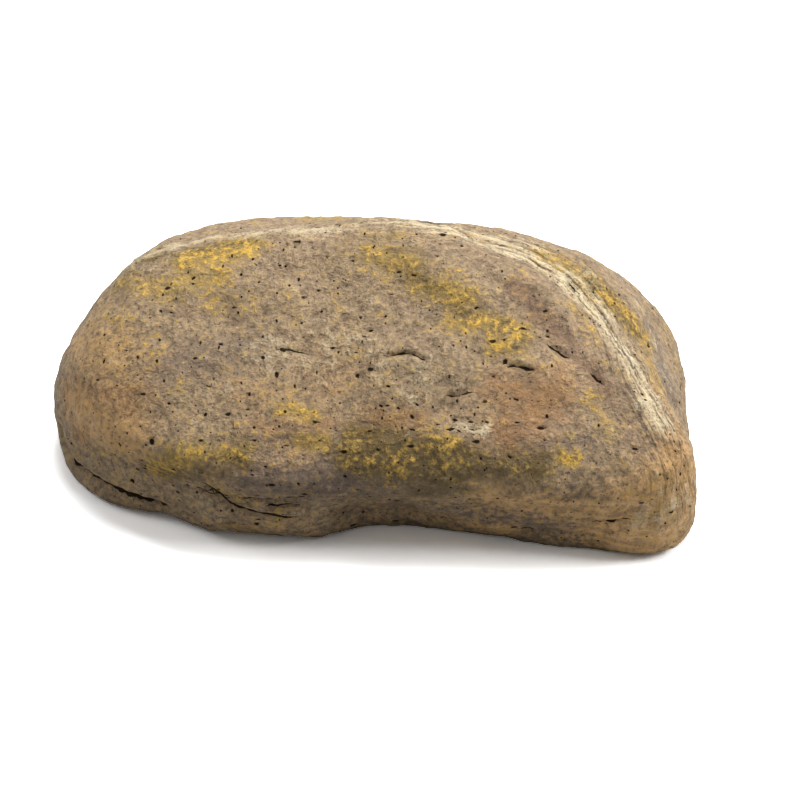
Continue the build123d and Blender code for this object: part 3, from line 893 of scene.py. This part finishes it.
def makeStoneMaterial(settings):
    material, tree, shader, place = startMaterial("paintedCastStone")
    clouds = {name: cloud(tree, place, *values) for name, values in stoneNoise.items()}
    blotch, knot, speck, dust = [clouds[name] for name in ("blotch", "knot", "speck", "dust")]

    def share(name, noisy, weight, reach):
        # a painted patch whose edge is broken up
        return timesPlus(tree, painted(tree, name), reach, times(tree, clouds[noisy], weight))

    mottle = timesPlus(tree, speck, 0.40, times(tree, blotch, 0.40))
    mottle = timesPlus(tree, dust, 0.20, mottle)
    colour = ramp(tree, mottle, [(0.38, settings["umber"]), (0.50, settings["taupe"]),
                                 (0.62, settings["tan"])])
    # slate patches also lay painted shade on the front faces, amber patches painted light on the nose and low
    # front
    for where, paint, noisy, weight, reach, low, high, most in stonePatches:
        patch = between(tree, share(where, noisy, weight, reach), low, high, 0.0, most)
        colour = layer(tree, patch, colour, settings[paint])

    flecks = timesPlus(tree, speck, 0.80, times(tree, blotch, 0.40))
    flecks = timesPlus(tree, painted(tree, "ochre"), 0.14, flecks)
    colour = layer(tree, between(tree, flecks, 0.64, 0.75, 0.0, 0.65), colour, settings["mustard"])
    colour = layer(tree, between(tree, flecks, 0.75, 0.80, 0.0, 0.85), colour, settings["ochre"])

    # painted relief shade: everything so far is lighter on small rises and darker between them, more so on
    # the beds low on the front
    reliefForPaintedShade = timesPlus(tree, speck, 0.55, times(tree, knot, 0.45))
    depth = timesPlus(tree, painted(tree, "beds"), 0.20, 0.36)
    tone = timesPlus(tree, between(tree, reliefForPaintedShade, 0.38, 0.62, -0.5, 0.5), depth, 1.0)
    colour = toned(tree, colour, tone)

    # cream on what stands proud, dry-brushed wear and painted highlight both, and along the chalk runs with
    # their painted rim highlight; then streaks that follow the crest and the beds low on the front
    wornAndHighlit = timesPlus(tree, painted(tree, "proud"), 0.42, share("chalkAndHighlight", "dust", 0.40, 0.24))
    wornAndHighlit = timesPlus(tree, knot, 0.20, wornAndHighlit)
    colour = layer(tree, between(tree, wornAndHighlit, 0.58, 0.90, 0.0, 0.85), colour, settings["chalkAndHighlight"])
    line = addNode(tree, "ShaderNodeCombineXYZ")
    plug(tree, times(tree, painted(tree, "side"), 0.001), line.inputs[0])
    plug(tree, times(tree, painted(tree, "along"), 0.00010), line.inputs[1])
    crestStreak = cloud(tree, line.outputs[0], 0.95, 4, 0.70, 0.15)
    bedStreak = cloud(tree, stretched(tree, place, (0.12, 0.2, 1.0)), 0.9, 4, 0.65)
    cream = times(tree, between(tree, crestStreak, 0.48, 0.60), painted(tree, "grain"))
    cream = times(tree, cream, between(tree, share("chalkAndHighlight", "knot", 0.5, 0.8), 0.35, 0.85))
    colour = layer(tree, times(tree, cream, 0.85), colour, settings["chalkAndHighlight"])
    crestTone = times(tree, painted(tree, "grain"), between(tree, crestStreak, 0.50, 0.38))
    bedTone = times(tree, painted(tree, "beds"), between(tree, bedStreak, 0.54, 0.40, 0.0, 0.3))
    colour = layer(tree, times(tree, larger(tree, crestTone, bedTone), 0.75), colour, settings["shade"])

    # darker where the fine dust and speck noises are low, then pits and cracks
    lowSpots = timesPlus(tree, dust, 0.50, times(tree, speck, 0.50))
    colour = layer(tree, between(tree, lowSpots, 0.45, 0.36, 0.0, 0.50), colour, settings["shade"])
    ragged = frayed(tree, place, 0.7, 0.22)
    cluster = between(tree, cloud(tree, place, 9, 2, 0.5), 0.36, 0.62, 0.25, 1.5)
    cluster = combine(tree, "ADD", cluster, painted(tree, "spongy"))
    sunk = pinholes(tree, ragged, 1.2, 0.24, timesPlus(tree, painted(tree, "spongy"), 0.45, 0.40))
    for scale, turn, cell, size, chance in stoneHoles:
        holes = pinholes(tree, stretched(tree, ragged, scale, turn), cell, size, times(tree, cluster, chance))
        sunk = larger(tree, sunk, holes)
    wander = timesPlus(tree, knot, 0.5, times(tree, speck, 0.5))
    gap = combine(tree, "ABSOLUTE", combine(tree, "ADD", painted(tree, "crackGap"),
                                            combine(tree, "SUBTRACT", wander, 0.50)))
    crack = between(tree, combine(tree, "SUBTRACT", painted(tree, "crackHalf"), gap), -0.03, 0.06)
    crack = times(tree, crack, between(tree, painted(tree, "crackHalf"), 0.02, 0.10))
    pitted = between(tree, timesPlus(tree, dust, 0.3, painted(tree, "pit")), 0.56, 0.74)
    sunk = larger(tree, sunk, larger(tree, crack, pitted))
    # painted shade: pinholes, crack lines and pits are painted near black for the shade inside them
    colour = layer(tree, times(tree, sunk, 0.94), colour, settings["pit"])
    # painted shade on the low skin that faces the floor
    colour = layer(tree, times(tree, painted(tree, "under"), 0.12), colour, settings["shade"])

    roughness = between(tree, blotch, 0.35, 0.65, *settings["roughness"])
    shine = timesPlus(tree, sunk, -settings["shine"], settings["shine"])
    normal = bumps(tree, [
        (knot, 1.00, 2.10), (times(tree, blotch, painted(tree, "spongy")), 1.00, 3.00),
        (speck, 1.00, 1.10), (dust, 0.90, 0.26),
        (times(tree, crestStreak, painted(tree, "grain")), 0.90, 0.80),
        (times(tree, bedStreak, painted(tree, "beds")), 0.40, 0.25),
        (combine(tree, "SUBTRACT", 1.0, sunk), 0.95, 0.30)])
    coat(tree, shader, colour, roughness, shine, normal)
    return material


stoneMaterial = makeStoneMaterial(stonePaint)
rockSkin = addObject("rockSkin", skinMesh)
skinMesh.materials.append(stoneMaterial)
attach(rockSkin, "rock")
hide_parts("rock_shell")
print("stone is painted")


# ---- the foam pad under the box's roof: crowned below, flat where it is glued

foamSettings = {
    "around": 320, "rings": 46, "cornerRadius": 2.5, "crown": 0.45, "edgeRound": 0.55, "pullIn": 0.25,
    "poreWave": 0.9, "poreDepth": 0.10, "furthest": 40, "probeStep": 0.025,
    "dark": (0.045, 0.045, 0.048), "light": (0.150, 0.150, 0.156), "pore": (0.010, 0.010, 0.011),
    "roughness": 0.95, "shine": 0.15,
}


def buildFoam(settings):
    low, high = [1000 * np.array(corner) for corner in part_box("key_pad")]
    middle, half = (low + high) / 2, (high - low) / 2
    count, corner = settings["around"], settings["cornerRadius"]
    angles = np.linspace(0, 2 * pi, count, endpoint=False)
    inner = half[:2] - corner
    reach = []
    furthest, step = settings["furthest"], settings["probeStep"]
    probe = np.linspace(0, furthest, round(furthest / step) + 1)
    for a in angles:
        places = probe[:, None] * np.array((cos(a), sin(a)))
        outside = np.linalg.norm(np.maximum(np.abs(places) - inner, 0), axis=1) > corner
        reach.append(step * np.argmax(outside))
    outline = np.array(reach)[:, None] * np.stack((np.cos(angles), np.sin(angles)), -1)
    sides = np.abs(outline) > half[:2] - 0.1
    slack = settings["pullIn"] * (1 - (outline[:, ::-1] / half[1::-1]) ** 2) * sides
    outline = outline - np.sign(outline) * slack

    rings, round_ = settings["rings"], settings["edgeRound"]
    profile = []
    for share in np.linspace(0.02, 1, rings) ** 0.85:
        profile.append((share * (1 - round_ / half[1]), low[2] + settings["crown"] * share ** 4))
    for turn in (30, 60, 90):
        profile.append((1 - round_ / half[1] * (1 - sin(radians(turn))),
                        low[2] + settings["crown"] + round_ * (1 - cos(radians(turn)))))
    profile += [(1, high[2] - 0.3), (0.99, high[2] - 0.05), (0.97, high[2]), (0.6, high[2]), (0.2, high[2])]
    points = [np.array([(middle[0], middle[1], low[2])])]
    for scale, height in profile:
        ring = np.column_stack((outline * scale + middle[:2], np.full(count, height)))
        points.append(ring)
    points.append(np.array([(middle[0], middle[1], high[2])]))
    points = np.concatenate(points)
    inwards = settings["poreDepth"] * (0.5 + sampleNoise(points, settings["poreWave"], 2, 5))
    below = points[:, 2] < high[2] - 0.2
    points[below, 2] += np.clip(inwards, 0, 0.2)[below]

    def loop(k):
        return 1 + k * count + np.arange(count)

    faces = [(0, b, a) for a, b in zip(loop(0), np.roll(loop(0), -1))]
    for k in range(len(profile) - 1):
        a, b = loop(k), loop(k + 1)
        faces += np.stack((a, np.roll(a, -1), np.roll(b, -1), b), -1).tolist()
    last = len(points) - 1
    faces += [(last, a, b) for a, b in zip(loop(len(profile) - 1), np.roll(loop(len(profile) - 1), -1))]
    mesh = bpy.data.meshes.new("foamPad")
    mesh.from_pydata((points * 0.001).tolist(), [], [tuple(map(int, f)) for f in faces])
    mesh.update()
    mesh.shade_smooth()
    return mesh


def makeFoamMaterial(settings):
    material, tree, shader, place = startMaterial("openCellFoam")
    cells = cloud(tree, place, 0.7, 4, 0.7)
    pores = pinholes(tree, place, 0.75, 0.30, 0.75)
    pores = larger(tree, pores, pinholes(tree, place, 0.45, 0.16, 0.6))
    colour = ramp(tree, cells, [(0.40, settings["dark"]), (0.62, settings["light"])])
    # painted shade: the pores are painted near black for the shade inside them
    colour = layer(tree, pores, colour, settings["pore"])
    normal = bumps(tree, [(cells, 0.8, 0.25), (combine(tree, "SUBTRACT", 1.0, pores), 0.9, 0.30)])
    coat(tree, shader, colour, settings["roughness"], settings["shine"], normal)
    return material


foamPad = addObject("foamPad", buildFoam(foamSettings))
foamPad.data.materials.append(makeFoamMaterial(foamSettings))
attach(foamPad, "rock")
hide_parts("key_pad")
print("foam pad is in")


# ---- finishes of the pieces that keep their CAD shape

def finishNode(node, material):
    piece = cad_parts[node]
    for slot in piece.material_slots:
        slot.link = "OBJECT"
        slot.material = material


basePaint = {
    "low": (0.150, 0.100, 0.056), "middle": (0.290, 0.205, 0.120), "high": (0.420, 0.320, 0.205),
    "dirt": (0.070, 0.045, 0.026), "bubble": (0.030, 0.022, 0.015), "roughness": (0.62, 0.86),
    "shine": 0.35,
}


def makeBaseMaterial(settings):
    material, tree, shader, place = startMaterial("castUnderside")
    broad = cloud(tree, place, 14, 5, 0.62, 0.5)
    sand = cloud(tree, place, 0.8, 4, 0.68)
    mottle = timesPlus(tree, broad, 0.6, times(tree, sand, 0.4))
    colour = ramp(tree, mottle, [(0.38, settings["low"]), (0.50, settings["middle"]),
                                 (0.62, settings["high"])])
    swirl = cloud(tree, stretched(tree, place, (0.35, 1.0, 1.0), (0, 0, 0.4)), 7, 4, 0.6, 1.2)
    colour = layer(tree, between(tree, swirl, 0.52, 0.68, 0.0, 0.65), colour, settings["dirt"])
    bubbles = pinholes(tree, place, 4.0, 0.65, 0.35)
    bubbles = larger(tree, bubbles, pinholes(tree, place, 1.7, 0.26, 0.35))
    # painted shade: the bubble holes are painted dark for the shade inside them
    colour = layer(tree, times(tree, bubbles, 0.85), colour, settings["bubble"])
    roughness = between(tree, broad, 0.35, 0.65, *settings["roughness"])
    normal = bumps(tree, [(swirl, 0.5, 0.35), (sand, 0.8, 0.22),
                          (combine(tree, "SUBTRACT", 1.0, bubbles), 0.9, 0.4)])
    coat(tree, shader, colour, roughness, settings["shine"], normal)
    return material


mouldedPaint = {
    # fine grain of the mould in mm and its depth; dust lies in the wide blotches, scuffs run one way
    "key_box": {"name": "boxPlastic", "colour": (0.028, 0.028, 0.031), "dust": (0.115, 0.100, 0.082),
                "dusty": 0.35, "scuffs": (0.090, 0.090, 0.093), "scuffTurn": (0.2, 0.1, 0.5), "scuffed": 0.35,
                "grain": 0.22, "depth": 0.035, "roughness": (0.42, 0.60), "shine": 0.45},
    "box_door": {"name": "doorPlastic", "colour": (0.033, 0.033, 0.036), "dust": (0.130, 0.112, 0.090),
                 "dusty": 0.30, "scuffs": (0.115, 0.115, 0.118), "scuffTurn": (0, 0, 0.35), "scuffed": 0.65,
                 "grain": 0.26, "depth": 0.045, "roughness": (0.36, 0.56), "shine": 0.50},
    "box_gasket": {"name": "gasketRubber", "colour": (0.024, 0.024, 0.025), "dust": (0.085, 0.076, 0.064),
                   "dusty": 0.45, "scuffs": (0.050, 0.050, 0.051), "scuffTurn": (0, 0, 0), "scuffed": 0.15,
                   "grain": 0.45, "depth": 0.030, "roughness": (0.74, 0.92), "shine": 0.30},
    "door_seal": {"name": "sealRubber", "colour": (0.085, 0.085, 0.088), "dust": (0.150, 0.138, 0.120),
                  "dusty": 0.35, "scuffs": (0.120, 0.120, 0.122), "scuffTurn": (0, 0, 1.2), "scuffed": 0.15,
                  "grain": 0.40, "depth": 0.020, "roughness": (0.66, 0.84), "shine": 0.30},
}


def makeMouldedMaterial(settings):
    material, tree, shader, place = startMaterial(settings["name"])
    grain = cloud(tree, place, settings["grain"], 3, 0.6)
    wide = cloud(tree, place, 9, 5, 0.6, 0.4)
    hairs = cloud(tree, stretched(tree, place, (0.04, 1.0, 1.0), settings["scuffTurn"]), 0.5, 3, 0.6)
    scuffs = times(tree, between(tree, hairs, 0.64, 0.70), between(tree, wide, 0.46, 0.60))
    tone = between(tree, wide, 0.35, 0.65, 0.8, 1.2)
    colour = toned(tree, settings["colour"], tone)
    colour = layer(tree, times(tree, scuffs, settings["scuffed"]), colour, settings["scuffs"])
    film = timesPlus(tree, wide, 0.6, times(tree, grain, 0.4))
    colour = layer(tree, between(tree, film, 0.50, 0.70, 0.0, settings["dusty"]), colour, settings["dust"])
    roughness = between(tree, film, 0.38, 0.62, *settings["roughness"])
    normal = bumps(tree, [(grain, 0.8, settings["depth"]), (wide, 0.3, 0.10)])
    coat(tree, shader, colour, roughness, settings["shine"], normal)
    return material


metalPaint = {
    "box_screws": {"name": "zincScrew", "bright": (0.640, 0.645, 0.640), "dull": (0.420, 0.415, 0.395),
                   "bloom": (0.560, 0.530, 0.420), "streak": (1.0, 1.0, 0.15), "roughness": (0.26, 0.48),
                   "shine": 0.5},
    "hinge_pin": {"name": "drawnPin", "bright": (0.620, 0.620, 0.625), "dull": (0.380, 0.370, 0.355),
                  "bloom": (0.330, 0.230, 0.150), "streak": (0.05, 1.0, 1.0), "roughness": (0.20, 0.40),
                  "shine": 0.5},
}


def makeMetalMaterial(settings):
    material, tree, shader, place = startMaterial(settings["name"])
    lines = cloud(tree, stretched(tree, place, settings["streak"]), 0.22, 3, 0.6)
    bloom = cloud(tree, place, 1.4, 5, 0.65)
    colour = ramp(tree, lines, [(0.38, settings["dull"]), (0.60, settings["bright"])])
    colour = layer(tree, between(tree, bloom, 0.56, 0.72, 0.0, 0.7), colour, settings["bloom"])
    shader.inputs["Metallic"].default_value = 1.0
    roughness = between(tree, bloom, 0.40, 0.65, *settings["roughness"])
    coat(tree, shader, colour, roughness, settings["shine"], bumps(tree, [(lines, 0.6, 0.02)]))
    return material


finishNode("rock_base", makeBaseMaterial(basePaint))
for node, paint in mouldedPaint.items():
    finishNode(node, makeMouldedMaterial(paint))
for node, paint in metalPaint.items():
    finishNode(node, makeMetalMaterial(paint))
print("box, door, rubber and steel are finished")
